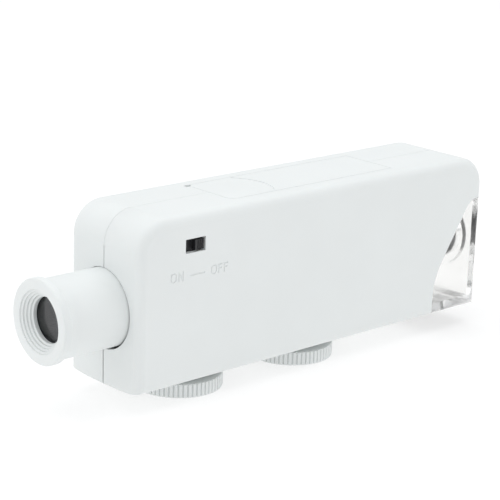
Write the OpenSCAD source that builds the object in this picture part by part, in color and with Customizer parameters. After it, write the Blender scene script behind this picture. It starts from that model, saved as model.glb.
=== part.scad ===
// Hand-held zoom microscope with a lamp: eyepiece at -X, clear specimen tip at +X, finger wheels below.
// Modules draw in the casing's own frame: x from the eyepiece end, y from the seam, z from the underside.
// resting() moves that frame so that the origin is the centre of the footprint, under the wheels.

/* [Casing] */
// Length of the casing, eyepiece end to specimen end
body_l = 117; // [112:0.5:124]
// Thickness of the casing, across the seam
body_t = 26.5; // [26:0.1:30]
// Height of the casing, without the wheels
body_h = 41; // [40.6:0.1:44]
// Thickness of the moulded shells
wall = 1.5; // [1.3:0.1:1.7]
// Radius of the two upper corners, seen from the side
crown_r = 7.9; // [6:0.1:10]
// Radius of the long edges
edge_r = 2.4; // [1.8:0.1:3]
// Radius of the lower corner at the eyepiece end
heel_r = 1.0; // [0.6:0.1:1.4]
// How far the underside bulges at the seam
belly = 1.05; // [0.6:0.05:1.2]
// Gap that shows along the seam
seam_gap = 0.06; // [0.06:0.02:0.3]

/* [Eyepiece] */
// Height of the optical axis over the underside
axis_z = 18.2; // [18:0.1:18.4]
// How far the eyepiece stands out of the casing
standout = 18.4; // [16:0.1:20]
// Outer radius of the draw tube
tube_r = 9.5; // [9.3:0.05:9.6]
// Radius of the hole that the draw tube comes out of
hole_r = 9.85; // [9.8:0.05:10.4]
// Outer radius of the eyepiece flange
flange_r = 10.2; // [10:0.1:11]
// Radius of the funnel's mouth
mouth_r = 7.4; // [7:0.1:8]
// Radius of the glass that shows at the bottom of the funnel
sight_r = 5; // [4.8:0.1:6]

/* [Wheels] */
// Outer radius of both finger wheels
wheel_r = 11; // [10:0.1:12]
// Thickness of the knurled rim
wheel_t = 3.4; // [3:0.1:4]
// Gap between the rim and the casing
wheel_gap = 2.2; // [1.8:0.1:2.6]
// Number of ridges round the rim
ridges = 60; // [48:1:72]
// Place of the zoom wheel along the casing
zoom_x = 22.9; // [22.5:0.1:23.5]
// Place of the focus wheel along the casing
focus_x = 60.2; // [59.8:0.1:60.6]

/* [Clear tip] */
// Distance of the tip's upright edge from the eyepiece end
tip_x = 99.5; // [99:0.1:100.5]
// Height of the tip's upper edge
tip_top = 29.7; // [29:0.1:30.5]
// Slant of the tip's long edge from the vertical
tip_slant = 33; // [30:1:36]
// Thickness of the clear walls
tip_wall = 2.4; // [2.2:0.1:2.8]
// Radius of the sight hole in the end face
sight_hole_r = 6.95; // [6.5:0.05:7.5]
// Radius of the view through the black ring in the sight hole
view_r = 4.4; // [4:0.1:5]

/* [Battery and switch] */
// Length of the battery door
door_l = 54.5; // [54:0.1:55]
// Width of the battery door
door_w = 16.4; // [16:0.1:17]
// Radius of the AAA cell
cell_r = 5.25; // [5.2:0.05:5.25]
// Length of the AAA cell
cell_l = 44.5; // [44:0.1:44.5]
// Travel of the switch slider
switch_travel = 2.6; // [2.2:0.1:2.7]

/* [Hidden] */
$fn = 64;

half_t = body_t / 2;
mid_x = (body_l - standout) / 2;
foot_z = wheel_gap + wheel_t;
inner_y = half_t - wall;
slack = 0.05;
cut = 1;
below = -2.5;
dip = 0.03;
floor_r = 1.2;
hole_drop = 0.22;
end_gap = 0.26;
heel_gap = 0.46;

// Clear tip
toe_r = 1.8;
bend_r = 18;
bend_z = 4.5;
shoulder_r = 4;
lip = 2.5;
joint_gap = 0.1;
sight_ring_x = 115;
sight_ring_l = 1.5;
collar_r = 9.25;
collar_t = 1.4;
bend_end = [tip_x + bend_r * (1 - cos(tip_slant)), bend_z + bend_r * sin(tip_slant)];
slant_l = (tip_top - shoulder_r * (1 - sin(tip_slant)) - bend_end[1]) / cos(tip_slant);
shoulder_x = bend_end[0] + slant_l * sin(tip_slant) + shoulder_r * cos(tip_slant);

// Battery door
door_x = 31.5;
door_end = door_x + door_l;
door_gap = 0.1;
door_corner_r = 2;
bay_wall = 1.2;
bay_y = cell_r + 0.55;
bay_x = 32.2;
bay_top = 38.4;
cell_z = body_h - wall - 0.85 - cell_r;
cell_x = 37.5;
cell_end = cell_x + cell_l;
plate_t = 0.4;

// Inside of the eyepiece, measured from its mouth
funnel_l = 2.5;
funnel_steps = 4;
lens_seat = 3.5;
lens_r = 7.5;
spacer_r = 6.4;
ring_r = 5;
eye_edge = 1.6;
eye_bulge = 0.9;
eye_x = lens_seat + rise(eye_bulge, sight_r) + slack;
spacer_x = eye_x + eye_edge + rise(eye_bulge, spacer_r) + slack;
field_x = 40;
field_edge = 1.8;
field_bulge = 0.8;
spacer_end = field_x - rise(field_bulge, spacer_r) - slack;
ring_x = field_x + field_edge + rise(field_bulge, ring_r) + slack;

// Drive: rack and pinion, 0.8 mm module
module_mm = 0.8;
rack_pitch = module_mm * PI;
zoom_teeth = 12;
focus_teeth = 10;
zoom_pitch_r = zoom_teeth * module_mm / 2;
focus_pitch_r = focus_teeth * module_mm / 2;
tooth_w = 1.0;
tooth_tip_w = 0.5;
tooth_root_w = 1.5;
addendum = 0.68;
dedendum = 0.95;
gear_z = 3.2;
gear_h = 5;
rack_z = 3.4;
rack_h = 4.6;
axle_r = 2.5;
bearing_r = 5;

// Objective barrel
barrel_r = 7;
barrel_x = 52;
barrel_end = 106;
barrel_bore_r = 5.8;
nose_r = 5.2;
nose_x = 110;

// Casing screws, as [x, z]
screw_sites = [[7, 33.2], [93, 34.4], [46, 4.3], [86, 5]];
boss_r = 2.4;
far_boss_r = 3.1;
pilot_r = 1;
head_r = 2.1;
head_well_r = 2.4;
head_depth = 2.2;

// Switch
letter_h = 2.3;
stroke = 0.35;
window_x = 13.4;
window_w = 6;
window_z = 31.8;
window_h = 3.4;
knob_w = 2.6;
can_x = 12;
can_w = 9;
can_z = 31.1;
can_h = 4.8;
can_y = 10.8;
can_d = 3.4;
sheet = 0.3;

// Lamp
lamp_at = [101, 33.5];
lamp_tilt = 40;
lamp_r = 2.5;

// Leads, routed along the near side of the battery bay
lead_r = 0.5;
lead_sides = 8;
lead_y = -9.2;
switch_route = [[31.6, -2, 35], [30.4, -4.5, 35.8], [28, -6.8, 35.6], [24.6, -7, 35], [21.6, -6.4, 34.6], [19.2, -6, 34.4]];
return_route = [
    [16.5, -6, 34.4], [15.2, -6, 35.6], [17, -6.6, 37.4], [24, -8.8, 37.8], [40, -9.2, 37.4], [60, -9.2, 37.2],
    [80, -9.2, 37.2], [90, -9, 37.8], [94.6, -7, 37], [96.4, -3.8, 36.6], [97.2, -2, 36.4]
];
resistor_at = [89.5, 9.4, 29.8];
resistor_l = 5;
lamp_route = [[84.2, 2.6, 36], [85.6, 5.4, 34.6], [87.2, 8.4, 31.4], [89.3, 9.4, 29.8]];
tail_route = [[94.7, 9.4, 29.8], [96.2, 8.6, 31], [96.8, 5.4, 34.4], [97.2, 2, 36.4]];

white = [0.93, 0.94, 0.94];
frost = [0.9, 0.94, 0.95, 0.4];
black = [0.08, 0.08, 0.09];
glass_tint = [0.75, 0.85, 0.9, 0.5];
steel = [0.75, 0.76, 0.78];
brass = [0.8, 0.66, 0.35];

// ---- Helpers ----

module resting() {
    translate([-mid_x, 0, foot_z]) children();
}

// Stands a side outline up: its thickness runs from the seam towards the near face
module near_side(y0, y1) {
    translate([0, -y0, 0]) rotate([90, 0, 0]) linear_extrude(y1 - y0) children();
}

module far_side(y0, y1) {
    mirror([0, 1, 0]) near_side(y0, y1) children();
}

// Turns a profile of radius and distance into a round part that lies along the optical axis
module on_axis(x) {
    translate([x, 0, axis_z]) rotate([0, 90, 0]) children();
}

module ring(r_out, r_in, length) {
    difference() {
        cylinder(r = r_out, h = length);
        translate([0, 0, -cut]) cylinder(r = r_in, h = length + 2 * cut);
    }
}

module block(low, high) {
    translate(low) cube(high - low);
}

// What a rounded corner of radius r leaves of a square one, grown inwards by d
module corner_waste(r, d) {
    difference() {
        square(r + cut);
        circle(r - d);
    }
}

// Side view of the casing, shrunk by d, with its underside at height z
module side_outline(d, z) {
    difference() {
        translate([d, z]) square([body_l - 2 * d, body_h - d - z]);
        translate([body_l - crown_r, body_h - crown_r]) corner_waste(crown_r, d);
        translate([crown_r, body_h - crown_r]) rotate(90) corner_waste(crown_r, d);
    }
}

// Outer form of the near half of the whole body, its edges rounded and its underside bulging at the seam
module near_form() {
    w = half_t - floor_r;
    bulge_r = (w * w + belly * belly) / (2 * belly);
    low = -belly - dip;
    rotate([90, 0, 0]) intersection() {
        difference() {
            linear_extrude(half_t) difference() {
                side_outline(0, below);
                translate([heel_r, heel_r + low]) rotate(180) end_waste(heel_r);
                translate([body_l - toe_r, toe_r + low]) mirror([0, 1]) end_waste(toe_r);
            }
            translate([0, 0, half_t - edge_r]) edge_waste();
            translate([-cut, floor_r, half_t - floor_r])
                rotate([90, 0, 90]) linear_extrude(body_l + 2 * cut) rotate(90) corner_waste(floor_r, 0);
        }
        translate([-cut, bulge_r - belly, 0])
            rotate([0, 90, 0]) cylinder(r = bulge_r, h = body_l + 2 * cut, $fn = 720);
    }
}

// What a rounded lower corner of radius r leaves of a square one that reaches further down
module end_waste(r) {
    difference() {
        square([r + cut, r + 2 * cut]);
        circle(r);
    }
}

module edge_waste() {
    straight = body_h - crown_r;
    translate([crown_r, body_h - edge_r, 0])
        rotate([90, 0, 90]) linear_extrude(body_l - 2 * crown_r) corner_waste(edge_r, 0);
    translate([edge_r, below, 0])
        rotate([-90, 0, 0]) linear_extrude(straight - below) rotate(180) corner_waste(edge_r, 0);
    translate([body_l - edge_r, below, 0])
        rotate([-90, 0, 0]) linear_extrude(straight - below) mirror([0, 1]) corner_waste(edge_r, 0);
    for (side = [[body_l - crown_r, 0], [crown_r, 90]])
        translate([side[0], straight, 0])
            rotate(side[1]) rotate_extrude(angle = 90) translate([crown_r - edge_r, 0]) corner_waste(edge_r, 0);
}

module far_form() {
    mirror([0, 1, 0]) near_form();
}

// Side view of the clear tip, grown outwards by m: upright edge, bend, slant, shoulder, level edge
module tip_outline(m) {
    bend = [for (a = [0 : 3 : tip_slant])
        [tip_x + bend_r - (bend_r + m) * cos(a), bend_z + (bend_r + m) * sin(a)]];
    shoulder = [for (a = [tip_slant : 9.5 : 90])
        [shoulder_x - (shoulder_r + m) * cos(a), tip_top - shoulder_r + (shoulder_r + m) * sin(a)]];
    polygon(concat(
        [[tip_x - m, below]], bend, shoulder, [[body_l + 2, tip_top + m], [body_l + 2, below]]
    ));
}

module screw_holes(r, y0, y1) {
    for (site = screw_sites)
        translate([site[0], y0, site[1]]) rotate([-90, 0, 0]) cylinder(r = r, h = y1 - y0);
}

// ---- Casing ----

// Everything that opens either shell
module shell_openings() {
    translate([0, 0, -hole_drop]) on_axis(-cut) cylinder(r = hole_r, h = wall + 2 * cut);
    for (x = [zoom_x, focus_x])
        translate([x, 0, below]) cylinder(r = axle_r + slack, h = cut - below + gear_z);
    translate([door_x - door_gap, -door_w / 2 - door_gap, body_h - wall - slack])
        door_plate(door_l + 2 * door_gap, door_w + 2 * door_gap, wall + cut);
}

module door_plate(l, w, h) {
    difference() {
        cube([l, w, h]);
        for (y = [0, 1])
            translate([door_corner_r, door_corner_r + y * (w - 2 * door_corner_r), -cut])
                mirror([0, 1 - y, 0]) rotate(90) linear_extrude(h + 2 * cut) corner_waste(door_corner_r, 0);
    }
}

// Ribs that stand inside one shell, drawn for the near side
module shell_ribs() {
    rib_t = 1.6;
    front_guide_x = 5;
    front_guide_top = 29;
    rear_guide = [24.6, 13, 24];
    barrel_guides = [72, 90];
    barrel_guide_top = 26.4;
    bay_floor = 28.1;
    foot_top = 34;
    saddle = [96, 97.4];
    saddle_w = 4.6;
    saddle_h = 2;
    difference() {
        union() {
            // tube guides
            block([front_guide_x, -inner_y, wall], [front_guide_x + rib_t, 0, front_guide_top]);
            block([rear_guide[0], -inner_y, rear_guide[1]], [rear_guide[0] + rib_t, 0, rear_guide[2]]);
            // barrel guides
            for (x = barrel_guides)
                block([x, -inner_y, wall], [x + rib_t, 0, barrel_guide_top]);
            // battery bay: a long wall and the two end walls
            block([bay_x, -bay_y - bay_wall, bay_floor], [cell_end + plate_t + bay_wall, -bay_y, body_h - wall]);
            block([bay_x, -bay_y, bay_floor], [bay_x + bay_wall, 0, bay_top]);
            block([cell_end + plate_t, -bay_y, bay_floor], [cell_end + plate_t + bay_wall, 0, bay_top]);
            // feet that tie the bay wall to the shell
            for (x = [bay_x, (bay_x + cell_end) / 2, cell_end])
                block([x, -inner_y, bay_floor], [x + bay_wall, -bay_y - bay_wall, foot_top]);
            // wheel bearings
            for (x = [zoom_x, focus_x])
                translate([x, 0, 0]) cylinder(r = bearing_r, h = gear_z - 2 * slack);
            // lamp saddle
            block([saddle[0], -saddle_w, body_h - wall - saddle_h], [saddle[1], 0, body_h - wall]);
        }
        on_axis(0) cylinder(r = tube_r + slack, h = barrel_x - 2 * barrel_r);
        on_axis(barrel_x) cylinder(r = barrel_r + slack, h = barrel_end - barrel_x);
    }
}

module near_shell() {
    resting() color(white) {
        difference() {
            union() {
                difference() {
                    near_form();
                    near_side(-cut, inner_y) side_outline(wall, wall);
                }
                intersection() {
                    union() {
                        shell_ribs();
                        translate([0, -inner_y - slack, 0])
                            screw_bosses(boss_r, inner_y + slack);
                    }
                    near_side(0, half_t - wall / 2) side_outline(wall / 2, wall / 2);
                }
            }
            seam_tongue(joint_gap);
            power_marks();
            shell_openings();
            near_side(-cut, half_t + cut) tip_outline(joint_gap);
            // pilot holes
            screw_holes(pilot_r, -inner_y + cut, cut);
            // window
            block([window_x, -half_t - cut, window_z], [window_x + window_w, 0, window_z + window_h]);
            // half of the gap along the seam
            block([-cut, -seam_gap / 2, below], [body_l + cut, cut, body_h + cut]);
            end_gaps();
        }
    }
}

module screw_bosses(r, h) {
    for (site = screw_sites)
        translate([site[0], 0, site[1]]) rotate([-90, 0, 0]) cylinder(r = r, h = h);
}

// Sunk lettering of the switch: on, a dash, off
module power_marks() {
    mark_t = 0.15;
    base_z = 25.5;
    near_side(half_t - mark_t, half_t + cut) {
        translate([9, base_z]) letter_o();
        translate([11.3, base_z]) letter_n();
        translate([14.8, base_z + 0.8]) square([4.5, stroke]);
        translate([21.2, base_z]) letter_o();
        translate([23.4, base_z]) letter_f();
        translate([25.1, base_z]) letter_f();
    }
}

module letter_o() {
    difference() {
        letter_oval(0);
        letter_oval(stroke);
    }
}

module letter_oval(d) {
    bevel = 0.5;
    w = 1.8;
    polygon([
        [bevel, d], [w - bevel, d], [w - d, bevel], [w - d, letter_h - bevel],
        [w - bevel, letter_h - d], [bevel, letter_h - d], [d, letter_h - bevel], [d, bevel]
    ]);
}

module letter_n() {
    w = 1.6;
    square([stroke, letter_h]);
    translate([w - stroke, 0]) square([stroke, letter_h]);
    polygon([[0, letter_h], [stroke, letter_h], [w, 0], [w - stroke, 0]]);
}

module letter_f() {
    square([stroke, letter_h]);
    translate([0, letter_h - stroke]) square([1.3, stroke]);
    translate([0, letter_h / 2 - stroke / 4]) square([1.1, stroke]);
}

module far_shell() {
    rack_room = [[4, 3.2, wall], [7, 8.6, 13]];
    notch = [1.2, 1.3, 1.1];
    resting() color(white) difference() {
        union() {
            difference() {
                union() {
                    difference() {
                        far_form();
                        far_side(-cut, inner_y) side_outline(wall, wall);
                    }
                    intersection() {
                        union() {
                            mirror([0, 1, 0]) shell_ribs();
                            screw_bosses(far_boss_r, inner_y + slack);
                        }
                        far_side(0, half_t - wall / 2) side_outline(wall / 2, wall / 2);
                    }
                }
                // other half of the gap along the seam
                block([-cut, -cut, below], [body_l + cut, seam_gap / 2, body_h + cut]);
                end_gaps();
            }
            seam_tongue(0);
        }
        shell_openings();
        far_side(-cut, half_t + cut) tip_outline(joint_gap);
        screw_holes(pilot_r + 0.2, -cut, half_t + cut);
        screw_holes(head_well_r, half_t - head_depth, half_t + cut);
        // room for the rack in the first guide
        block(rack_room[0], rack_room[1]);
        // pry notch at the door's corner
        translate([door_x - notch[0], door_w / 2 - notch[1], body_h - notch[2]]) cube([notch[0] + cut, notch[1], cut + notch[2]]);
    }
}

// The seam is wider at the eyepiece end, most of all below the draw tube
module end_gaps() {
    block([-cut, -end_gap / 2, axis_z], [wall - slack, end_gap / 2, body_h - crown_r]);
    block([-cut, -heel_gap / 2, below], [wall - slack, heel_gap / 2, axis_z]);
}

// Tongue of the far shell that closes the seam from behind, grown by d
module seam_tongue(d) {
    tongue_t = 0.8;
    difference() {
        far_side(-1.4 - d, 1.4) side_outline(wall, wall);
        far_side(-3, 3) side_outline(wall + tongue_t + d, wall + tongue_t + d);
        // it stops at the clear tip and at the battery bay
        near_side(-3, 3) tip_outline(lip + joint_gap - d);
        block([door_x - 1.6, -3, body_h - 6], [door_end + 3.6, 3, body_h]);
    }
}

module case_screws() {
    resting() color(steel) for (site = screw_sites)
        translate([site[0], 0, site[1]]) rotate([-90, 0, 0]) difference() {
            union() {
                translate([0, 0, -8]) cylinder(r = pilot_r, h = 8 + half_t - head_depth);
                translate([0, 0, half_t - head_depth]) cylinder(r = head_r, h = 1.3);
            }
            translate([0, 0, half_t - head_depth + 0.5]) cross_slot(2.4);
        }
}

module cross_slot(w) {
    for (a = [0, 90])
        rotate(a) translate([-w / 2, -0.25, 0]) cube([w, 0.5, 2]);
}

module clear_stage() {
    resting() color(frost) difference() {
        union() {
            intersection() {
                union() {
                    near_form();
                    far_form();
                }
                near_side(-half_t - cut, half_t + cut) tip_outline(0);
            }
            intersection() {
                near_side(-inner_y + slack, inner_y - slack) side_outline(wall + slack, wall + slack);
                near_side(-half_t, half_t) tip_outline(lip);
            }
        }
        difference() {
            near_side(-half_t + tip_wall, half_t - tip_wall) translate([-5, 0]) cavity_outline();
            on_axis(body_l - tip_wall - collar_t) cylinder(r = collar_r, h = collar_t + cut);
        }
        on_axis(body_l - 10) cylinder(r = sight_hole_r, h = 12);
    }
}

// Black ring that keeps stray light off the view, its inner edge opening towards the specimen
module sight_ring() {
    flare = 0.6;
    resting() color(black) on_axis(sight_ring_x) difference() {
        ring(sight_hole_r - slack, view_r, sight_ring_l);
        translate([0, 0, sight_ring_l - flare]) cylinder(r1 = view_r, r2 = view_r + 2 * flare, h = 2 * flare);
    }
}

// Side view of the hollow behind the clear walls
module cavity_outline() {
    translate([0, tip_wall]) square([body_l - tip_wall + 5, body_h]);
}

// ---- Battery ----

module battery_door() {
    tab_y = 3;
    tab_w = 3;
    tab_l = 2;
    tab_t = 1.4;
    tab_low = body_h - wall - 1.3;
    tab_gap = 0.1;
    snap_w = 5;
    snap_t = 0.5;
    snap_h = 1.2;
    thumb_x = 38;
    thumb_r = 10.9;
    thumb_w = 0.6;
    thumb_d = 0.2;
    thumb_chord = 7.2;
    resting() color(white) difference() {
        union() {
            translate([door_x, -door_w / 2, body_h - wall]) door_plate(door_l, door_w, wall);
            for (side = [-1, 1])
                translate([door_end - tab_t, side * (tab_y + tab_w / 2) - tab_w / 2, 0]) {
                    block([0, 0, tab_low], [tab_t, tab_w, body_h - wall + slack]);
                    block([0, 0, tab_low], [tab_t + tab_l, tab_w, body_h - wall - tab_gap]);
                }
            // tongue of the snap, behind the pry notch's edge
            translate([door_x + tab_gap, -snap_w / 2, body_h - wall - snap_h])
                cube([snap_t, snap_w, snap_h + slack]);
        }
        // thumb line: a shallow arc across the door
        translate([thumb_x, 0, body_h - thumb_d]) difference() {
            ring(thumb_r, thumb_r - thumb_w, cut);
            block([-thumb_r - cut, -thumb_r - cut, -cut], [thumb_chord, thumb_r + cut, 2 * cut]);
        }
    }
}

module battery_cell() {
    nub_l = 0.9;
    resting() translate([cell_x, 0, cell_z]) rotate([0, 90, 0]) {
        color([0.2, 0.3, 0.45]) cylinder(r = cell_r, h = cell_l - nub_l - 0.4);
        color(steel) translate([0, 0, cell_l - nub_l - 0.5]) cylinder(r = cell_r - 0.5, h = 0.5);
        color(steel) translate([0, 0, cell_l - nub_l - 0.1]) cylinder(r = 1.9, h = nub_l + 0.1);
    }
}

// Conical coil of the minus contact, its wire swept along a helix
module battery_spring() {
    turns = 3;
    steps = 16;
    r_big = 3.6;
    r_small = 2.2;
    wire_r = 0.3;
    x0 = bay_x + bay_wall + wire_r;
    x1 = cell_x - wire_r;
    path = [for (i = [0 : turns * steps])
        let (f = i / (turns * steps), a = 360 * i / steps, r = r_big + (r_small - r_big) * f)
        [x0 + (x1 - x0) * f, r * cos(a), cell_z + r * sin(a)]];
    resting() color(steel) sweep(path, wire_r, 6);
}

module battery_plate() {
    resting() color(steel) {
        block([cell_end, -4, cell_z - 4], [cell_end + plate_t, 4, bay_top]);
        block([cell_end, -1.5, bay_top], [cell_end + plate_t, 1.5, bay_top + plate_t]);
        block([cell_end + plate_t, -1.5, bay_top], [cell_end + 2.4, 1.5, bay_top + plate_t]);
    }
}

// Round tube of radius r along a path, in flat-sided rings square to the path
module sweep(path, r, sides) {
    n = len(path);
    rings = [for (i = [0 : n - 1])
        let (
            t = path[min(i + 1, n - 1)] - path[max(i - 1, 0)],
            d = t / norm(t),
            s = cross(d, abs(d[2]) > 0.9 ? [0, 1, 0] : [0, 0, 1]),
            u = s / norm(s),
            v = cross(d, u)
        )
        for (k = [0 : sides - 1])
            path[i] + r * (u * cos(360 * k / sides) + v * sin(360 * k / sides))];
    walls = [for (i = [0 : n - 2], k = [0 : sides - 1])
        let (a = i * sides + k, b = i * sides + (k + 1) % sides)
        each [[a, a + sides, b + sides], [a, b + sides, b]]];
    caps = [
        [for (k = [0 : sides - 1]) k],
        [for (k = [sides - 1 : -1 : 0]) (n - 1) * sides + k]
    ];
    polyhedron(points = rings, faces = concat(walls, caps));
}

// Smooth route through a few chosen points, by Catmull-Rom
function spline(p, steps) = [
    for (i = [0 : len(p) - 2], k = [0 : steps - 1])
        let (
            t = k / steps,
            a = p[max(i - 1, 0)],
            b = p[i],
            c = p[i + 1],
            d = p[min(i + 2, len(p) - 1)]
        )
        0.5 * (2 * b + (c - a) * t + (2 * a - 5 * b + 4 * c - d) * t * t + (3 * b - a - 3 * c + d) * t * t * t),
    p[len(p) - 1]
];

module lead(route) {
    sweep(spline(route, 5), lead_r, lead_sides);
}

// ---- Eyepiece ----

module eyepiece_tube() {
    rim = 1.9;
    taper = 1.9;
    length = standout + 37;
    drop = (mouth_r - sight_r) / funnel_steps;
    step_l = funnel_l / funnel_steps;
    bore_r = 7.6;
    funnel = [for (i = [0 : funnel_steps - 1])
        each [
            [mouth_r - i * drop, i * step_l],
            [mouth_r - i * drop - 0.06, (i + 0.7) * step_l],
            [mouth_r - (i + 1) * drop + 0.05, (i + 0.82) * step_l]
        ]];
    resting() color(white) on_axis(-standout) difference() {
        rotate_extrude($fn = 96) difference() {
            polygon(concat(
                funnel,
                [
                    [sight_r, funnel_l], [sight_r, lens_seat],
                    [bore_r, lens_seat], [bore_r, length],
                    [tube_r, length], [tube_r, rim + taper], [flange_r + 2, rim + taper],
                    [flange_r + 2, rim], [flange_r, rim], [flange_r, 0.3], [flange_r - 0.3, 0]
                ]
            ));
            // concave throat behind the flange
            translate([tube_r + 2.6, rim + taper]) circle(2.6, $fn = 48);
            translate([flange_r, rim + 0.3]) square([4, taper]);
        }
    }
}

// Height above its edge of an eyepiece lens with bulge b, at radius r
function rise(b, r) = b * (1 - pow(r / lens_r, 2));

// Biconvex lens of radius r with bulges b1 and b2 on an edge of thickness t
module lens(r, t, b1, b2) {
    rotate_extrude($fn = 96) intersection() {
        translate([0, -b1]) square([r, t + b1 + b2]);
        bulge(r, b1, -b1, 1);
        bulge(r, b2, t + b2, -1);
    }
}

// Disc whose rim passes through radius r, b away from its top, at height y
module bulge(r, b, y, side) {
    radius = (r * r + b * b) / (2 * b);
    translate([0, y + side * radius]) circle(radius, $fn = 256);
}

module eye_lens() {
    resting() color(glass_tint) on_axis(-standout + eye_x) lens(lens_r, eye_edge, eye_bulge, eye_bulge);
}

module eyepiece_spacer() {
    resting() color(black) on_axis(-standout + spacer_x) ring(lens_r, spacer_r, spacer_end - spacer_x);
}

module field_lens() {
    resting() color(glass_tint) on_axis(-standout + field_x) lens(lens_r, field_edge, field_bulge, field_bulge);
}

module lens_ring() {
    resting() color(black) on_axis(-standout + ring_x) ring(lens_r, ring_r, 3);
}

// ---- Drives ----

// One tooth as a half outline: [distance from the pitch line, half width]
function tooth_side() = [[-dedendum, tooth_root_w / 2], [0, tooth_w / 2], [addendum, tooth_tip_w / 2]];

module pinion(teeth, bore) {
    pitch_r = teeth * module_mm / 2;
    side = tooth_side();
    points = [for (k = [0 : teeth - 1])
        let (a = 90 + 360 * k / teeth)
        each concat(
            [for (p = side) polar(pitch_r + p[0], a - asin(p[1] / (pitch_r + p[0])))],
            [for (i = [2 : -1 : 0]) polar(pitch_r + side[i][0], a + asin(side[i][1] / (pitch_r + side[i][0])))]
        )];
    difference() {
        union() {
            translate([0, 0, gear_z]) linear_extrude(gear_h) polygon(points);
            translate([0, 0, -wheel_gap]) cylinder(r = axle_r, h = wheel_gap + gear_z);
        }
        translate([0, 0, -wheel_gap - cut]) cylinder(r = bore, h = 7.5);
    }
}

function polar(r, a) = [r * cos(a), r * sin(a)];

// Toothed bar whose teeth point at the seam, with a gap opposite x
module rack_bar(x, from, to, pitch_r, back_y) {
    side = tooth_side();
    first = ceil((from + tooth_root_w / 2 - x) / rack_pitch - 0.5);
    last = floor((to - tooth_root_w / 2 - x) / rack_pitch - 0.5);
    teeth = [for (k = [first : last])
        let (c = x + (k + 0.5) * rack_pitch)
        each concat(
            [for (p = side) [c - p[1], pitch_r - p[0]]],
            [for (i = [2 : -1 : 0]) [c + side[i][1], pitch_r - side[i][0]]]
        )];
    linear_extrude(rack_h) polygon(concat(
        [[from, pitch_r + dedendum]], teeth, [[to, pitch_r + dedendum], [to, back_y], [from, back_y]]
    ));
}

module zoom_rack() {
    from = zoom_x - 9;
    to = zoom_x + 14;
    back = 7.6;
    resting() color(white) {
        translate([0, 0, rack_z]) rack_bar(zoom_x, from, to, zoom_pitch_r, back);
        difference() {
            block([from, zoom_pitch_r + dedendum, rack_z + rack_h], [to, back, axis_z]);
            on_axis(0) cylinder(r = tube_r, h = 60);
        }
    }
}

module focus_rack() {
    from = focus_x - 7.2;
    to = focus_x + 7.3;
    back = 6.4;
    resting() color(white) {
        translate([0, 0, rack_z]) rack_bar(focus_x, from, to, focus_pitch_r, back);
        difference() {
            block([from, focus_pitch_r + dedendum, rack_z + rack_h], [to, back, axis_z]);
            on_axis(0) cylinder(r = barrel_r, h = 90);
        }
    }
}

module knurled_wheel() {
    ridge = 0.35;
    pitch = 360 / ridges;
    outline = [for (k = [0 : ridges - 1])
        each [
            polar(wheel_r - ridge, (k - 0.28) * pitch), polar(wheel_r, (k - 0.14) * pitch),
            polar(wheel_r, (k + 0.14) * pitch), polar(wheel_r - ridge, (k + 0.28) * pitch)
        ]];
    difference() {
        union() {
            translate([0, 0, -foot_z]) linear_extrude(wheel_t) polygon(outline);
            translate([0, 0, -foot_z + wheel_t - slack]) cylinder(r = 4.4, h = wheel_gap - belly - 0.25 + slack);
        }
        // socket of the axle, the screw's way through and its well
        translate([0, 0, -wheel_gap]) cylinder(r = axle_r, h = wheel_gap + cut);
        translate([0, 0, -foot_z - cut]) cylinder(r = 1.4, h = foot_z);
        translate([0, 0, -foot_z - cut]) cylinder(r = 3, h = 1.8 + cut);
        // shallow dish in the underside
        translate([0, 0, -foot_z - cut]) ring(8.6, 4.2, 0.5 + cut);
    }
}

module zoom_wheel() {
    resting() color(white) translate([zoom_x, 0, 0]) knurled_wheel();
}

module focus_wheel() {
    resting() color(white) translate([focus_x, 0, 0]) knurled_wheel();
}

module zoom_pinion() {
    resting() color(black) translate([zoom_x, 0, 0]) pinion(zoom_teeth, 1.1);
}

module focus_pinion() {
    resting() color(black) translate([focus_x, 0, 0]) pinion(focus_teeth, 1.1);
}

module wheel_screw() {
    translate([0, 0, -foot_z]) difference() {
        union() {
            translate([0, 0, 0.5]) cylinder(r = 2.6, h = 1.3);
            translate([0, 0, 1.7]) cylinder(r = 1.1, h = 7);
        }
        translate([0, 0, -0.8]) cross_slot(3);
    }
}

module zoom_screw() {
    resting() color(steel) translate([zoom_x, 0, 0]) wheel_screw();
}

module focus_screw() {
    resting() color(steel) translate([focus_x, 0, 0]) wheel_screw();
}

// ---- Objective ----

module objective_barrel() {
    resting() color(white) on_axis(barrel_x) ring(barrel_r, barrel_bore_r, barrel_end - barrel_x);
}

module objective_nose() {
    seat = 3;
    length = nose_x - barrel_end;
    resting() color(black) on_axis(barrel_end - seat) rotate_extrude() polygon([
        [4.2, 0], [barrel_bore_r, 0], [barrel_bore_r, seat], [barrel_r, seat], [barrel_r, seat + 0.8],
        [nose_r, seat + length], [3.2, seat + length], [3.2, seat + length - 0.8], [4.2, seat + length - 0.8]
    ]);
}

module objective_lens() {
    resting() color(glass_tint) on_axis(barrel_end + 0.6) lens(4.2, 1.2, 0.6, 0.6);
}

module objective_stop() {
    resting() color(black) on_axis(84) ring(barrel_bore_r, 2.2, 1);
}

module relay_lens() {
    resting() color(glass_tint) on_axis(58) lens(barrel_bore_r, 1.4, 0.8, 0.8);
}

// ---- Switch ----

module switch_can() {
    resting() color(steel) difference() {
        block([can_x, -can_y, can_z], [can_x + can_w, -can_y + can_d, can_z + can_h]);
        block(
            [can_x + sheet, -can_y + sheet, can_z + sheet],
            [can_x + can_w - sheet, -can_y + can_d + cut, can_z + can_h - sheet]
        );
        block([window_x - 0.4, -can_y - cut, window_z + 0.7], [window_x + window_w + 0.4, -can_y + cut, window_z + 2.7]);
    }
}

module switch_base() {
    resting() color([0.45, 0.25, 0.12])
        block(
            [can_x + sheet, -can_y + can_d - 1, can_z + sheet],
            [can_x + can_w - sheet, -can_y + can_d, can_z + can_h - sheet]
        );
}

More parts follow.
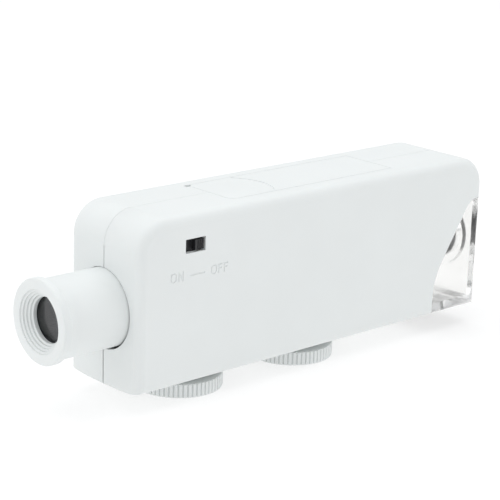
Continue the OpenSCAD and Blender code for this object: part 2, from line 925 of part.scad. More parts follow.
module switch_terminals() {
    resting() color(brass) for (x = [-2.5, 0, 2.5])
        block(
            [can_x + can_w / 2 + x - 0.4, -can_y + can_d, can_z + can_h / 2 - 0.2],
            [can_x + can_w / 2 + x + 0.4, -can_y + can_d + 2.6, can_z + can_h / 2 + 0.2]
        );
}

// Black slider: shutter behind the window, nub in it and foot inside the can; it rests at the off end
module switch_knob() {
    right = window_x + window_w - 0.4;
    nub_z = window_z + 0.5;
    nub_h = window_h - 1;
    resting() color(black) {
        block([right - 6, -inner_y + 0.15, window_z - 0.5], [right + 3.2, -can_y - 0.1, window_z + window_h + 0.5]);
        difference() {
            block([right - knob_w, -half_t + 0.2, nub_z], [right, -inner_y + 0.2, nub_z + nub_h]);
            for (x = [0.6, 1.2, 1.8])
                block([right - x - 0.15, -half_t, nub_z - cut], [right - x + 0.15, -half_t + 0.4, nub_z + nub_h + cut]);
        }
        block([right - 1.9, -can_y - 0.2, window_z + 1], [right - 0.7, -can_y + 1.6, window_z + 2.4]);
    }
}

// ---- Lamp and leads ----

module at_lamp() {
    translate([lamp_at[0], 0, lamp_at[1]]) rotate([0, 90 + lamp_tilt, 0]) children();
}

module led() {
    resting() color([0.95, 0.96, 0.9, 0.8]) at_lamp() {
        cylinder(r = lamp_r + 0.4, h = 1);
        cylinder(r = lamp_r, h = 5.4);
        translate([0, 0, 5.4]) sphere(lamp_r);
        for (y = [-1.27, 1.27])
            translate([0, y, -4]) cylinder(r = 0.25, h = 4.2, $fn = 16);
    }
}

module led_holder() {
    resting() color(black) at_lamp() difference() {
        translate([-4, -4.5, 1]) cube([8, 9, 2.4]);
        translate([0, 0, -cut]) cylinder(r = lamp_r + slack / 2, h = 8);
    }
}

module resistor() {
    resting() color([0.75, 0.65, 0.5]) translate(resistor_at) rotate([0, 90, 0]) {
        cylinder(r = 0.8, h = resistor_l);
        for (x = [0.2, resistor_l - 1.4])
            translate([0, 0, x]) cylinder(r = 1, h = 1.2);
    }
}

module wire_switch() {
    resting() color([0.15, 0.15, 0.16]) lead(switch_route);
}

module wire_return() {
    resting() color([0.15, 0.15, 0.16]) lead(return_route);
}

module wire_lamp() {
    resting() color([0.7, 0.1, 0.1]) {
        lead(lamp_route);
        lead(tail_route);
    }
}

near_shell();
far_shell();
clear_stage();
sight_ring();
case_screws();
battery_door();
eyepiece_tube();
eye_lens();
eyepiece_spacer();
field_lens();
lens_ring();
zoom_rack();
zoom_wheel();
zoom_pinion();
zoom_screw();
focus_wheel();
focus_pinion();
focus_screw();
objective_barrel();
objective_nose();
objective_lens();
objective_stop();
relay_lens();
focus_rack();
battery_cell();
battery_spring();
battery_plate();
switch_can();
switch_base();
switch_terminals();
switch_knob();
led();
led_holder();
resistor();
wire_switch();
wire_lamp();
wire_return();
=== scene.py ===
import math

import bmesh
import bpy
from mathutils import Matrix, Vector


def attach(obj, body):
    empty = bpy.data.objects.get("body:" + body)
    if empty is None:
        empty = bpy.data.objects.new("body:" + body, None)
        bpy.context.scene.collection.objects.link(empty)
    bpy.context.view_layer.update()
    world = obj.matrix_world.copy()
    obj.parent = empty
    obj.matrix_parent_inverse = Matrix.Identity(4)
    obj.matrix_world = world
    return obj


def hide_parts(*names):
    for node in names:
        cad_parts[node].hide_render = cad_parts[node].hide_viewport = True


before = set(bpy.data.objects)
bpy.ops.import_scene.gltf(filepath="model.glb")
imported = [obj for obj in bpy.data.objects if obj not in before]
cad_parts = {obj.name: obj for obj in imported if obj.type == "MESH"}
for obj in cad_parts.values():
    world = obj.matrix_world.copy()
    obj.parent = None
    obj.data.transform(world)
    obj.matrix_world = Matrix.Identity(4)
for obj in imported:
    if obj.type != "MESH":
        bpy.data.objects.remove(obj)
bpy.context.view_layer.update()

MM = 0.001
MM_TO_M = Matrix.Diagonal((MM, MM, MM, 1.0))
scene = bpy.context.scene


# ---- Camera, floor and light ----

def make_camera():
    """The photograph's viewpoint, fitted to the casing's edges and circles."""
    azimuth = math.radians(-42.46)
    elevation = math.radians(16.35)
    roll = math.radians(1.82)
    distance = 0.433
    focal_mm = 125.9
    sensor_mm = 36.0
    target = Vector((-0.00388, 0.0, 0.02971))
    back = Vector((
        math.sin(azimuth) * math.cos(elevation),
        -math.cos(azimuth) * math.cos(elevation),
        math.sin(elevation),
    ))
    level = Vector((math.cos(azimuth), math.sin(azimuth), 0.0))
    rise = back.cross(level)
    right = level * math.cos(roll) + rise * math.sin(roll)
    up = rise * math.cos(roll) - level * math.sin(roll)
    data = bpy.data.cameras.new("camera")
    data.lens = focal_mm
    data.sensor_width = sensor_mm
    data.clip_start = 0.01
    data.clip_end = 20.0
    camera = bpy.data.objects.new("camera", data)
    scene.collection.objects.link(camera)
    turn = Matrix((right, up, back)).transposed().to_4x4()
    camera.matrix_world = Matrix.Translation(target + back * distance) @ turn
    scene.camera = camera


def aim(obj, place, target):
    obj.location = place
    obj.rotation_mode = "QUATERNION"
    obj.rotation_quaternion = (Vector(target) - Vector(place)).to_track_quat("-Z", "Y")


def softbox(name, place, target, size, power):
    data = bpy.data.lights.new(name, "AREA")
    data.shape = "RECTANGLE"
    data.size, data.size_y = size
    data.energy = power
    box = bpy.data.objects.new(name, data)
    scene.collection.objects.link(box)
    aim(box, place, target)


def make_floor():
    """Pale paper that gives off a little light, for the photograph's white ground."""
    half = 3.0
    grey = 0.42
    glow = 0.62
    bm = bmesh.new()
    signs = ((-1, -1), (1, -1), (1, 1), (-1, 1))
    bm.faces.new([bm.verts.new((x * half, y * half, 0.0)) for x, y in signs])
    data = bpy.data.meshes.new("floor")
    bm.to_mesh(data)
    bm.free()
    floor = bpy.data.objects.new("floor", data)
    scene.collection.objects.link(floor)
    paper = bpy.data.materials.new("paper")
    paper.use_nodes = True
    shader = paper.node_tree.nodes["Principled BSDF"]
    shader.inputs["Base Color"].default_value = (grey, grey, grey, 1.0)
    shader.inputs["Roughness"].default_value = 0.9
    shader.inputs["Specular IOR Level"].default_value = 0.1
    shader.inputs["Emission Color"].default_value = (1.0, 1.0, 1.0, 1.0)
    shader.inputs["Emission Strength"].default_value = glow
    data.materials.append(paper)


def make_light():
    """A bright sky and three softboxes; the many bounces carry light through the clear tip."""
    sky = (0.97, 0.985, 1.0, 1.0)
    sky_strength = 0.67
    top_power = 4.7
    left_power = 1.7
    front_power = 1.5
    scene.view_settings.view_transform = "Standard"
    scene.cycles.max_bounces = 32
    scene.cycles.glossy_bounces = 24
    scene.cycles.transmission_bounces = 32
    world = bpy.data.worlds.new("studio")
    world.use_nodes = True
    background = world.node_tree.nodes["Background"]
    background.inputs["Color"].default_value = sky
    background.inputs["Strength"].default_value = sky_strength
    scene.world = world
    centre = (0.0, 0.0, 0.025)
    softbox("top_light", (0.0, 0.05, 0.9), centre, (1.2, 1.2), top_power)
    softbox("left_light", (-1.0, 0.35, 0.5), centre, (0.7, 0.7), left_power)
    softbox("front_light", (0.9, -0.8, 0.5), centre, (0.8, 0.7), front_power)


# ---- Materials ----

class Look:
    """A Principled material with helpers for the nodes that feed it."""

    def __init__(self, name):
        self.material = bpy.data.materials.new(name)
        self.material.use_nodes = True
        self.tree = self.material.node_tree
        self.shader = self.tree.nodes["Principled BSDF"]

    def put(self, socket, value):
        self.shader.inputs[socket].default_value = value

    def node(self, kind):
        return self.tree.nodes.new(kind)

    def link(self, source, target):
        self.tree.links.new(source, target)

    def noise(self, scale, detail=3.0, rough=0.5):
        place = self.node("ShaderNodeTexCoord")
        made = self.node("ShaderNodeTexNoise")
        made.inputs["Scale"].default_value = scale
        made.inputs["Detail"].default_value = detail
        made.inputs["Roughness"].default_value = rough
        self.link(place.outputs["Object"], made.inputs["Vector"])
        return made.outputs["Fac"]

    def ramp(self, factor, stops):
        made = self.node("ShaderNodeValToRGB")
        elements = made.color_ramp.elements
        while len(elements) < len(stops):
            elements.new(0.5)
        for element, (place, colour) in zip(elements, stops):
            element.position = place
            element.color = (*colour, 1.0)
        self.link(factor, made.inputs["Fac"])
        return made.outputs["Color"]

    def span(self, factor, low, high):
        made = self.node("ShaderNodeMapRange")
        made.inputs["To Min"].default_value = low
        made.inputs["To Max"].default_value = high
        self.link(factor, made.inputs["Value"])
        return made.outputs["Result"]

    def bumps(self, *layers):
        """Each layer is (height, strength, distance); they stack."""
        last = None
        for height, strength, distance in layers:
            made = self.node("ShaderNodeBump")
            made.inputs["Strength"].default_value = strength
            made.inputs["Distance"].default_value = distance
            self.link(height, made.inputs["Height"])
            if last is not None:
                self.link(last, made.inputs["Normal"])
            last = made.outputs["Normal"]
        self.link(last, self.shader.inputs["Normal"])

    def mottle(self, factor, start, first, end, second):
        """Base colour between two tones, by a noise factor."""
        ramped = self.ramp(factor, [(start, first), (end, second)])
        self.link(ramped, self.shader.inputs["Base Color"])

    def roughen(self, factor, low, high):
        self.link(self.span(factor, low, high), self.shader.inputs["Roughness"])


def white_plastic(name, tone):
    look = Look(name)
    rough = 0.55
    patches = look.noise(60.0, 2.0)
    darker = tuple(c * 0.985 for c in tone)
    look.mottle(patches, 0.35, darker, 0.65, tone)
    grain = look.noise(5200.0, 2.0, 0.6)
    flow = look.noise(220.0, 3.0)
    look.roughen(grain, rough - 0.05, rough + 0.07)
    look.bumps((flow, 0.05, 0.0004), (grain, 0.22, 0.00004))
    look.put("IOR", 1.46)
    look.put("Subsurface Weight", 0.08)
    look.put("Subsurface Radius", (0.0012, 0.0011, 0.001))
    look.put("Subsurface Scale", 1.0)
    return look.material


def dark_plastic(name, tone, rough=0.35):
    look = Look(name)
    grain = look.noise(6000.0, 2.0, 0.6)
    patches = look.noise(150.0, 3.0)
    lighter = tuple(c * 1.35 + 0.004 for c in tone)
    look.mottle(patches, 0.3, tone, 0.7, lighter)
    look.roughen(grain, rough - 0.06, rough + 0.1)
    look.bumps((grain, 0.25, 0.00003))
    return look.material


def clear_plastic(name, tones, rough):
    look = Look(name)
    haze = look.noise(180.0, 4.0)
    ripple = look.noise(90.0, 2.0)
    low, high = tones
    look.mottle(haze, 0.3, low, 0.7, high)
    look.roughen(haze, *rough)
    look.bumps((ripple, 0.04, 0.0003))
    look.put("Transmission Weight", 1.0)
    look.put("IOR", 1.49)
    return look.material


def lens_glass(name):
    look = Look(name)
    film = look.noise(400.0, 3.0)
    look.mottle(film, 0.3, (0.84, 0.86, 0.9), 0.7, (0.88, 0.9, 0.94))
    look.roughen(film, 0.0, 0.02)
    look.put("Transmission Weight", 1.0)
    look.put("IOR", 1.42)  # below real glass, for the weak reflection of a coated lens
    return look.material


def metal(name, tone, rough):
    look = Look(name)
    streaks = look.noise(900.0, 3.0, 0.6)
    patches = look.noise(200.0, 2.0)
    darker = tuple(c * 0.82 for c in tone)
    look.mottle(patches, 0.3, darker, 0.7, tone)
    look.roughen(streaks, rough - 0.08, rough + 0.12)
    look.bumps((streaks, 0.12, 0.00003))
    look.put("Metallic", 1.0)
    return look.material


def painted(name, tone, rough):
    look = Look(name)
    patches = look.noise(900.0, 3.0)
    darker = tuple(c * 0.75 for c in tone)
    look.mottle(patches, 0.3, darker, 0.7, tone)
    look.roughen(patches, rough - 0.08, rough + 0.08)
    look.bumps((patches, 0.15, 0.00004))
    return look.material


looks = {
    "white_plastic": white_plastic("white_plastic_look", (0.80, 0.825, 0.82)),
    "clear_plastic": clear_plastic(
        "clear_plastic_look", ((0.958, 0.957, 0.949), (0.976, 0.975, 0.967)), (0.09, 0.15),
    ),
    "black_plastic": dark_plastic("black_plastic_look", (0.012, 0.012, 0.014)),
    "lens_glass": lens_glass("lens_glass_look"),
    "plated_steel": metal("plated_steel_look", (0.66, 0.66, 0.67), 0.25),
    "cell_jacket": painted("cell_jacket_look", (0.06, 0.13, 0.30), 0.25),
    "phenolic_board": painted("phenolic_board_look", (0.22, 0.09, 0.03), 0.5),
    "contact_brass": metal("contact_brass_look", (0.85, 0.66, 0.30), 0.3),
    "lamp_epoxy": clear_plastic(
        "lamp_epoxy_look", ((0.96, 0.96, 0.9), (0.99, 0.99, 0.96)), (0.02, 0.05),
    ),
    "resistor_lacquer": painted("resistor_lacquer_look", (0.62, 0.48, 0.28), 0.35),
    "black_insulation": dark_plastic("black_insulation_look", (0.015, 0.015, 0.017), 0.3),
    "red_insulation": painted("red_insulation_look", (0.42, 0.02, 0.015), 0.35),
}


# ---- Shapes ----

# The casing's own frame in mm: x from its eyepiece end, z from its underside, y from the seam.
ORIGIN_X = 49.3
FOOT_Z = 5.6
AXIS_Z = 18.2
HALF_T = 13.25
CELL_Z = 33.4
ZOOM_X = 22.9
FOCUS_X = 60.2


def spot(x, y, z):
    """A point of the casing's own millimetre frame, in the row frame."""
    return Vector(((x - ORIGIN_X) * MM, y * MM, (z + FOOT_Z) * MM))


def turned(degrees, axis):
    return Matrix.Rotation(math.radians(degrees), 4, axis)


def placed(x, y, z, turn=Matrix.Identity(4)):
    """Carries local millimetres to a point of the casing, turned there."""
    return Matrix.Translation(spot(x, y, z)) @ turn @ MM_TO_M


def along(x, y, z):
    """Carries local z along x from a point of the casing."""
    return placed(x, y, z, turned(90.0, "Y"))


CASING = placed(0.0, 0.0, 0.0)


def smooth(corners, steps=6):
    """Rounds the corners (x, y, radius) of a closed outline."""
    points = []
    count = len(corners)
    for i, (x, y, radius) in enumerate(corners):
        here = Vector((x, y))
        if radius <= 0.0:
            points.append(here)
            continue
        before = (Vector(corners[i - 1][:2]) - here).normalized()
        after = (Vector(corners[(i + 1) % count][:2]) - here).normalized()
        half = 0.5 * before.angle(after)
        reach = radius / math.tan(half)
        centre = here + (before + after).normalized() * (radius / math.sin(half))
        start = here + before * reach - centre
        end = here + after * reach - centre
        turn = start.angle_signed(end)
        for k in range(steps + 1):
            bend = -turn * k / steps
            swung = Matrix.Rotation(bend, 2) @ start
            points.append(centre + swung)
    return points


def finish_mesh(name, bm, matrix, look, crease=32.0):
    """Makes an object of bm in the row frame, smooth but for its creases."""
    bm.transform(matrix)
    bmesh.ops.recalc_face_normals(bm, faces=bm.faces)
    for face in bm.faces:
        face.smooth = True
    for edge in bm.edges:
        if edge.is_manifold and edge.calc_face_angle() > math.radians(crease):
            edge.smooth = False
    data = bpy.data.meshes.new(name)
    bm.to_mesh(data)
    bm.free()
    data.materials.append(looks[look])
    obj = bpy.data.objects.new(name, data)
    scene.collection.objects.link(obj)
    return obj


def put_on(obj, body, look, *nodes):
    """Fastens a piece to its body, in place of CAD nodes if any; look is not used."""
    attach(obj, body)
    if nodes:
        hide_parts(*nodes)


def circle(k, sides, radius=1.0):
    angle = 2.0 * math.pi * k / sides
    return radius * math.cos(angle), radius * math.sin(angle)


def join_rings(bm, one, two):
    """Quads between two rings of vertices of equal count."""
    count = len(one)
    for k in range(count):
        j = (k + 1) % count
        bm.faces.new((one[k], one[j], two[j], two[k]))


def lathe(outline, sides, reach=None):
    """Turns a closed outline of (radius, height); reach(angle, radius) may move a radius."""
    bm = bmesh.new()
    rings = []
    for radius, height in outline:
        ring = []
        for k in range(sides):
            r = reach(2.0 * math.pi * k / sides, radius) if reach else radius
            ring.append(bm.verts.new((*circle(k, sides, r), height)))
        rings.append(ring)
    for one, two in zip(rings, rings[1:] + rings[:1]):
        join_rings(bm, one, two)
    return bm


def solid_lathe(outline, sides):
    """Turns an open outline whose ends lie on the axis."""
    bm = bmesh.new()
    first = bm.verts.new((0.0, 0.0, outline[0][1]))
    last = bm.verts.new((0.0, 0.0, outline[-1][1]))
    rings = []
    for radius, height in outline[1:-1]:
        rings.append([bm.verts.new((*circle(k, sides, radius), height)) for k in range(sides)])
    for k in range(sides):
        j = (k + 1) % sides
        bm.faces.new((first, rings[0][k], rings[0][j]))
        bm.faces.new((last, rings[-1][j], rings[-1][k]))
    for one, two in zip(rings, rings[1:]):
        join_rings(bm, one, two)
    return bm


def eyepiece():
    """Draw tube with its flange, concave throat and stepped funnel."""
    standout = 18.4
    length = standout + 37.0
    tube_r = 9.5
    flange_r = 10.2
    mouth_r = 7.5
    sight_r = 5.45
    sight_l = 1.0
    bore_r = 7.6
    funnel_l = 2.5
    treads = 4
    slope = 0.06
    rim = 1.9
    throat = 1.9
    hollow_steps = 9
    tread = (mouth_r - sight_r) / treads
    riser = funnel_l / treads
    corners = [(mouth_r, 0.0, 0.25)]
    for k in range(treads):
        r = mouth_r - k * tread
        z = k * riser
        if k:
            corners.append((r, z + 0.02, 0.1))
        corners.append((r - slope, z + 0.72 * riser, 0.1))
        corners.append((r - tread, z + riser, 0.12 if k == treads - 1 else 0.0))
    shoulder = funnel_l + sight_l
    corners += [(sight_r, shoulder, 0.1), (bore_r, shoulder, 0.1), (bore_r, length, 0.3)]
    corners += [(tube_r, length, 0.4), (tube_r, rim + throat + 0.8, 0.0)]
    outer = flange_r - 0.1
    for k in range(1, hollow_steps):
        angle = 0.5 * math.pi * k / hollow_steps
        r = outer - (outer - tube_r) * math.cos(angle)
        z = rim + 0.2 + (throat + 0.6) * (1.0 - math.sin(angle))
        corners.append((r, z, 0.0))
    corners += [(flange_r, rim, 0.45), (flange_r, 0.0, 0.5)]
    place = along(-standout, 0.0, AXIS_Z)
    tube = finish_mesh("eyepiece_draw_tube", lathe(smooth(corners), 256), place, "white_plastic", 40.0)
    put_on(tube, "eyepiece", "white_plastic", "eyepiece_tube")


def finger_wheel(name, node, body, x):
    """Knurled wheel with rounded ridges, chamfered rim, dished underside and hub."""
    ridges = 60
    sides_per_ridge = 16
    wheel_r = 11.0
    root_r = 10.2
    depth = 0.42
    dish = 0.5
    foot = -FOOT_Z
    top = foot + 3.4
    hub_top = -1.3
    chamfer = 0.12
    screw_r = 1.4
    screw_seat = -3.8
    bore_top = -2.2

    def valley(angle):
        """0 on a ridge, 1 between two."""
        phase = (angle * ridges / (2.0 * math.pi)) % 1.0
        off = abs(phase - 0.5) * 2.0
        t = min(max((off - 0.12) / 0.25, 0.0), 1.0)
        return 1.0 - t * t * (3.0 - 2.0 * t)

    def reach(angle, radius):
        share = (radius - root_r) / (wheel_r - root_r)
        return radius - depth * valley(angle) * min(max(share, 0.0), 1.0)

    outline = smooth([
        (screw_r, bore_top, 0.0), (screw_r, screw_seat, 0.0), (3.0, screw_seat, 0.15), (3.0, foot, 0.2),
        (4.2, foot, 0.2), (4.2, foot + dish, 0.15), (8.6, foot + dish, 0.4), (8.6, foot, 0.25),
        (root_r, foot, 0.0), (wheel_r - chamfer, foot, 0.0), (wheel_r, foot + 0.3, 0.12),
        (wheel_r, top - 0.3, 0.12), (wheel_r - chamfer, top, 0.0), (root_r, top, 0.0),
        (4.4, top, 0.3), (4.4, hub_top, 0.15), (2.5, hub_top, 0.1), (2.5, bore_top, 0.0),
    ], 4)
    skin = lathe(outline, ridges * sides_per_ridge, reach)
    wheel = finish_mesh(name, skin, placed(x, 0.0, 0.0), "white_plastic", 40.0)
    put_on(wheel, body, "white_plastic", node)


def lens(name, node, body, x, radius, edge, bulge):
    """Biconvex lens with a fine chamfer round its edge."""
    steps = 24
    chamfer_r = 0.12
    chamfer_z = 0.1
    ball = (radius * radius + bulge * bulge) / (2.0 * bulge)

    def cap(r):
        """Height of the spherical face over the edge."""
        return math.sqrt(ball * ball - r * r) - (ball - bulge)

    radii = [(radius - chamfer_r) * k / steps for k in range(steps + 1)]
    outline = [(r, -cap(r)) for r in radii]
    outline += [(radius, chamfer_z), (radius, edge - chamfer_z)]
    outline += [(r, edge + cap(r)) for r in reversed(radii)]
    made = finish_mesh(name, solid_lathe(outline, 128), along(x, 0.0, AXIS_Z), "lens_glass", 20.0)
    put_on(made, body, "lens_glass", node)


def pan_screw(name, head_r, shank_r, shank_l, matrix):
    """Domed head with a cross recess, on a turned shank; the head points up local z."""
    sides = 96
    rings = 40
    head_h = 1.3
    dome_fall = 0.35
    head_edge = 0.12
    slot_w = 0.3
    slot_l = head_r * 0.62
    slot_d = 0.55
    flank_w = 0.1
    end_w = 0.15
    pitch = 0.8
    thread_d = 0.16
    thread_start = -0.2
    thread_step = 0.1
    tip_share = 0.55

    def recess(x, y):
        """1 inside the cross, 0 outside, with steep flanks."""
        across = min(abs(x), abs(y))
        outward = max(abs(x), abs(y))
        flank = min(max((slot_w + flank_w - across) / flank_w, 0.0), 1.0)
        end = min(max((slot_l + end_w - outward) / end_w, 0.0), 1.0)
        return flank * end

    bm = bmesh.new()
    crown = bm.verts.new((0.0, 0.0, head_h - slot_d))
    loops = []
    for i in range(1, rings + 1):
        r = head_r * i / rings
        dome = head_h - dome_fall * (r / head_r) ** 2 - (head_edge if i == rings else 0.0)
        ring = []
        for k in range(sides):
            x, y = circle(k, sides, r)
            ring.append(bm.verts.new((x, y, dome - slot_d * recess(x, y))))
        loops.append(ring)
    turns = [(head_r, 0.08), (head_r - 0.08, 0.0), (shank_r, 0.0)]
    steps = int(shank_l / thread_step)
    turns += [(shank_r, -shank_l * i / steps) for i in range(1, steps)]
    turns.append((shank_r * tip_share, -shank_l))
    for r, z in turns:
        ring = []
        for k in range(sides):
            groove = 0.0
            if -shank_l < z < thread_start:
                wave = (z / pitch + k / sides) % 1.0
                groove = thread_d * abs(2.0 * wave - 1.0)
            ring.append(bm.verts.new((*circle(k, sides, r - groove), z)))
        loops.append(ring)
    for k in range(sides):
        bm.faces.new((crown, loops[0][k], loops[0][(k + 1) % sides]))
    for one, two in zip(loops, loops[1:]):
        join_rings(bm, one, two)
    bm.faces.new(loops[-1])
    return finish_mesh(name, bm, matrix, "plated_steel", 28.0)


def screws():
    """Four case screws in the far shell, and one under each finger wheel."""
    sink = 2.2
    sites = [(7.0, 33.2), (93.0, 34.4), (46.0, 4.3), (86.0, 5.0)]
    for i, (x, z) in enumerate(sites):
        turn = turned(-90.0, "X") @ turned(17.0 + 31.0 * i, "Z")
        place = placed(x, HALF_T - sink, z, turn)
        screw = pan_screw("case_screw_" + "abcd"[i], 2.1, 1.0, 8.0, place)
        put_on(screw, "casing", "plated_steel")
    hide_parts("case_screws")
    for name, node, body, x in (
        ("zoom_wheel_screw", "zoom_screw", "zoom_drive", ZOOM_X),
        ("focus_wheel_screw", "focus_screw", "focus_drive", FOCUS_X),
    ):
        turn = turned(180.0, "X") @ turned(24.0, "Z")
        screw = pan_screw(name, 2.6, 1.1, 6.9, placed(x, 0.0, -3.8, turn))
        put_on(screw, body, "plated_steel", node)


def swept(path, radius, sides=16):
    """A round wire along a path of millimetre points, with closed, slightly domed ends."""
    dome = 0.35
    bm = bmesh.new()
    rings = []
    side = Vector((0.0, 0.0, 1.0))
    count = len(path)
    for i, here in enumerate(path):
        ahead = path[min(i + 1, count - 1)] - path[max(i - 1, 0)]
        ahead.normalize()
        side = side - ahead * side.dot(ahead)
        if side.length < 0.001:
            side = ahead.orthogonal()
        side.normalize()
        up = ahead.cross(side)
        ring = []
        for k in range(sides):
            a, b = circle(k, sides)
            ring.append(bm.verts.new(here + (side * a + up * b) * radius))
        rings.append(ring)
    for one, two in zip(rings, rings[1:]):
        join_rings(bm, one, two)
    for ring, end, inner in ((rings[0], path[0], path[1]), (rings[-1], path[-1], path[-2])):
        tip = bm.verts.new(end + (end - inner).normalized() * radius * dome)
        for k in range(sides):
            bm.faces.new((ring[k], ring[(k + 1) % sides], tip))
    return bm


def curve_through(route):
    """Catmull-Rom points through a route."""
    steps = 14
    points = [Vector(p) for p in route]
    path = []
    for i in range(len(points) - 1):
        a = points[max(i - 1, 0)]
        b = points[i]
        c = points[i + 1]
        d = points[min(i + 2, len(points) - 1)]
        for k in range(steps):
            t = k / steps
            bend = (2.0 * a - 5.0 * b + 4.0 * c - d) * t * t
            twist = (3.0 * b - a - 3.0 * c + d) * t * t * t
            path.append(0.5 * (2.0 * b + (c - a) * t + bend + twist))
    path.append(points[-1].copy())
    return path


def wiring():
    """Insulated leads, each with a short bare end at either side."""
    bare = 6
    jacket_r = 0.5
    core_r = 0.22
    routes = {
        "switch_lead": ("wire_switch", "black_insulation", [
            [
                (31.6, -2, 35), (30.4, -4.5, 35.8), (28, -6.8, 35.6),
                (24.6, -7, 35), (21.6, -6.4, 34.6), (19.2, -6, 34.4),
            ],
        ]),
        "return_lead": ("wire_return", "black_insulation", [
            [
                (16.5, -6, 34.4), (15.2, -6, 35.6), (17, -6.6, 37.4), (24, -8.8, 37.8),
                (40, -9.2, 37.4), (60, -9.2, 37.2), (80, -9.2, 37.2), (90, -9, 37.8),
                (94.6, -7, 37), (96.4, -3.8, 36.6), (97.2, -2, 36.4),
            ],
        ]),
        "lamp_lead": ("wire_lamp", "red_insulation", [
            [(84.2, 2.6, 36), (85.6, 5.4, 34.6), (87.2, 8.4, 31.4), (89.3, 9.4, 29.8)],
            [(94.7, 9.4, 29.8), (96.2, 8.6, 31), (96.8, 5.4, 34.4), (97.2, 2, 36.4)],
        ]),
    }
    for name, (node, look, parts) in routes.items():
        first = None
        for i, route in enumerate(parts):
            path = curve_through(route)
            mark = name + "_" + "ab"[i]
            jacket = finish_mesh(mark + "_jacket", swept(path[bare:-bare], jacket_r), CASING, look)
            core = finish_mesh(mark + "_core", swept(path, core_r, 12), CASING, "contact_brass")
            put_on(jacket, "casing", look)
            put_on(core, "casing", "contact_brass")
            first = first or jacket
        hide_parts(node)


def spring():
    """Conical coil with a flat closed turn at its wide end."""
    turns = 3.6
    steps = 220
    wire_r = 0.3
    wide_r = 3.6
    narrowing = 1.4
    flat_share = 0.2
    start = 33.7
    end = 37.2
    path = []
    for i in range(steps + 1):
        f = i / steps
        angle = 2.0 * math.pi * turns * f
        climb = max(0.0, (f - flat_share) / (1.0 - flat_share))
        radius = wide_r - narrowing * climb
        x = start + (end - start) * climb
        path.append(Vector((x, radius * math.cos(angle), CELL_Z + radius * math.sin(angle))))
    coil = finish_mesh("battery_spring_coil", swept(path, wire_r), CASING, "plated_steel")
    put_on(coil, "casing", "plated_steel", "battery_spring")


def inside(name, bm, place, look, *nodes, crease=32.0):
    """Adds a piece of the casing's fixed contents."""
    put_on(finish_mesh(name, bm, place, look, crease), "casing", look, *nodes)


def battery():
    """AAA cell: film jacket with its overlap, rolled crimp, cap, nub and negative disc."""
    cell_r = 5.25
    can_r = 5.15
    length = 43.2
    film = 0.035
    overlap_angle = math.radians(16.0)
    ink = 0.006
    place = along(37.5, 0.0, CELL_Z)

    def overlap(angle, radius):
        """The film's free end makes a low step along the cell."""
        return radius - (0.0 if angle < overlap_angle else film)

    jacket = smooth([
        (can_r - 0.02, 0.25, 0.0), (cell_r - 0.02, 0.25, 0.05), (cell_r, 1.0, 0.0),
        (cell_r, length - 1.0, 0.0), (cell_r - 0.02, length - 0.2, 0.15),
        (4.5, length - 0.02, 0.1), (4.5, length - 0.12, 0.0), (can_r - 0.02, length - 0.5, 0.0),
    ], 4)
    inside("cell_jacket_film", lathe(jacket, 180, overlap), place, "cell_jacket", "battery_cell")
    can = smooth([
        (0.0, 0.12, 0.0), (3.6, 0.12, 0.2), (3.9, 0.0, 0.2), (can_r - 0.05, 0.0, 0.3),
        (can_r - 0.05, length - 0.25, 0.3), (can_r - 0.8, length - 0.15, 0.1),
        (can_r - 0.9, length - 0.45, 0.1), (0.0, length - 0.45, 0.0),
    ], 4)
    inside("cell_can", solid_lathe(can, 128), place, "plated_steel")
    cap = smooth([
        (0.0, length - 0.5, 0.0), (3.4, length - 0.5, 0.1), (3.2, length - 0.2, 0.2),
        (2.1, length - 0.1, 0.15), (1.9, length + 0.85, 0.25), (0.5, length + 0.9, 0.2),
        (0.3, length + 0.8, 0.1), (0.0, length + 0.8, 0.0),
    ], 4)
    inside("cell_cap", solid_lathe(cap, 96), place, "plated_steel")
    for mark, start, wide in (("a", 8.2, 0.8), ("b", 31.5, 6.5)):
        low = cell_r - 0.08
        high = cell_r + ink
        band = [(low, start), (high, start), (high, start + wide), (low, start + wide)]
        inside("cell_band_" + mark, lathe(band, 180), place, "plated_steel")


def resistor():
    """Axial resistor: two swollen ends, a waist and four painted bands."""
    length = 5.0
    steps = 48
    end_r = 0.45
    waist = 0.32
    round_l = 0.35
    band_l = 0.36
    band_steps = 6
    place = along(89.5, 9.4, 29.8)

    def swell(z):
        edge = min(z, length - z)
        return 0.2 * math.exp(-((edge - 0.8) / 0.55) ** 2)

    profile = [(0.0, 0.0), (end_r, 0.02)]
    for k in range(steps + 1):
        z = length * (0.03 + 0.94 * k / steps)
        rounded = min(min(z, length - z) / round_l, 1.0)
        profile.append((end_r + (waist + swell(z)) * math.sin(0.5 * math.pi * rounded), z))
    profile += [(end_r, length - 0.02), (0.0, length)]
    inside("resistor_body", solid_lathe(profile, 64), place, "resistor_lacquer", "resistor")
    for mark, start, look in (
        ("a", 0.75, "black_insulation"),
        ("b", 1.75, "red_insulation"),
        ("c", 2.5, "red_insulation"),
        ("d", 3.95, "contact_brass"),
    ):
        heights = [start + band_l * k / band_steps for k in range(band_steps + 1)]
        ring = [(end_r + waist + swell(z) - 0.06, z) for z in reversed(heights)]
        ring += [(end_r + waist + swell(z) + 0.012, z) for z in heights]
        inside("resistor_band_" + mark, lathe(ring, 64), place, look)


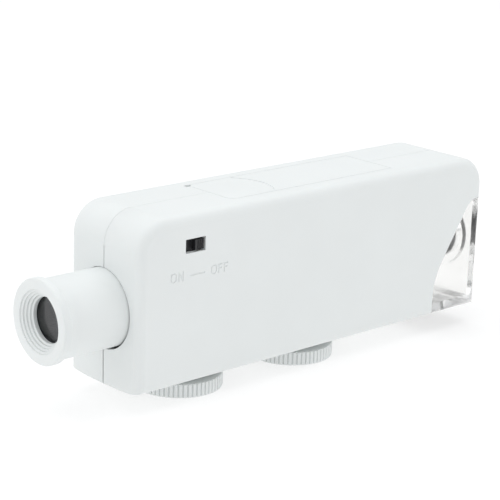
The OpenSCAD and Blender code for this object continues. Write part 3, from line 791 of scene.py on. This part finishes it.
def lamp():
    """Five-millimetre LED: flanged dome, reflector cup on one lead frame and post on the other."""
    dome_r = 2.48
    dome_z = 5.4
    dome_steps = 16
    lead_gap = 1.27
    jog = 0.25
    place = placed(101.0, 0.0, 33.5, turned(130.0, "Y"))
    dome = [(0.0, 0.0), (2.7, 0.0), (2.88, 0.1), (2.9, 0.25), (2.9, 0.8), (2.8, 0.97)]
    dome += [(2.56, 1.0), (2.5, 1.08), (dome_r, dome_z)]
    for k in range(1, dome_steps):
        angle = 0.5 * math.pi * k / dome_steps
        dome.append((dome_r * math.cos(angle), dome_z + dome_r * math.sin(angle)))
    dome.append((0.0, dome_z + dome_r))
    inside("led_dome", solid_lathe(dome, 96), place, "lamp_epoxy", "led", crease=50.0)
    for mark, side, posts in (("a", -1.0, 14), ("b", 1.0, 17)):
        y = lead_gap * side
        path = [Vector((0.0, y, -4.0 + 0.1 * k)) for k in range(40)]
        path += [Vector((0.0, y - jog * side * k / 8.0, 0.1 * k)) for k in range(9)]
        path += [Vector((0.0, y - jog * side, 0.9 + 0.1 * k)) for k in range(posts)]
        inside("led_lead_" + mark, swept(path, 0.25, 12), place, "contact_brass")
    cup = smooth([
        (0.0, 2.3, 0.0), (0.7, 2.3, 0.1), (0.95, 3.4, 0.05),
        (0.8, 3.4, 0.05), (0.5, 2.75, 0.05), (0.0, 2.75, 0.0),
    ], 3)
    inside("led_cup", solid_lathe(cup, 48), place, "plated_steel")


def soften(node, width):
    """Takes the sharpness off a carried-over node's edges."""
    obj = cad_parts[node]
    weld = obj.modifiers.new("weld", "WELD")
    weld.merge_threshold = 0.000002
    bevel = obj.modifiers.new("bevel", "BEVEL")
    bevel.width = width
    bevel.segments = 2
    bevel.limit_method = "ANGLE"
    bevel.angle_limit = math.radians(30.0)
    bevel.use_clamp_overlap = True
    bevel.harden_normals = True


def dress_nodes():
    """Gives every CAD node the material of its slot."""
    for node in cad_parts.values():
        given = node.data.materials[0].name.split(".")[0]
        node.data.materials.clear()
        node.data.materials.append(looks[given])


make_camera()
make_floor()
make_light()
dress_nodes()
eyepiece()
finger_wheel("zoom_finger_wheel", "zoom_wheel", "zoom_drive", ZOOM_X)
finger_wheel("focus_finger_wheel", "focus_wheel", "focus_drive", FOCUS_X)
lens("eye_lens_glass", "eye_lens", "eyepiece", -14.35, 7.5, 1.6, 0.9)
lens("field_lens_glass", "field_lens", "eyepiece", 21.6, 7.5, 1.8, 0.8)
lens("objective_lens_glass", "objective_lens", "objective", 106.6, 4.2, 1.2, 0.6)
lens("relay_lens_glass", "relay_lens", "objective", 58.0, 5.8, 1.4, 0.8)
screws()
wiring()
spring()
battery()
resistor()
lamp()
shell_edge = 0.00012
small_edge = 0.00008
for shell in ("near_shell", "far_shell", "battery_door"):
    soften(shell, shell_edge)
for small in (
    "switch_can", "switch_base", "switch_knob", "led_holder", "battery_plate",
    "zoom_rack", "focus_rack", "zoom_pinion", "focus_pinion",
):
    soften(small, small_edge)
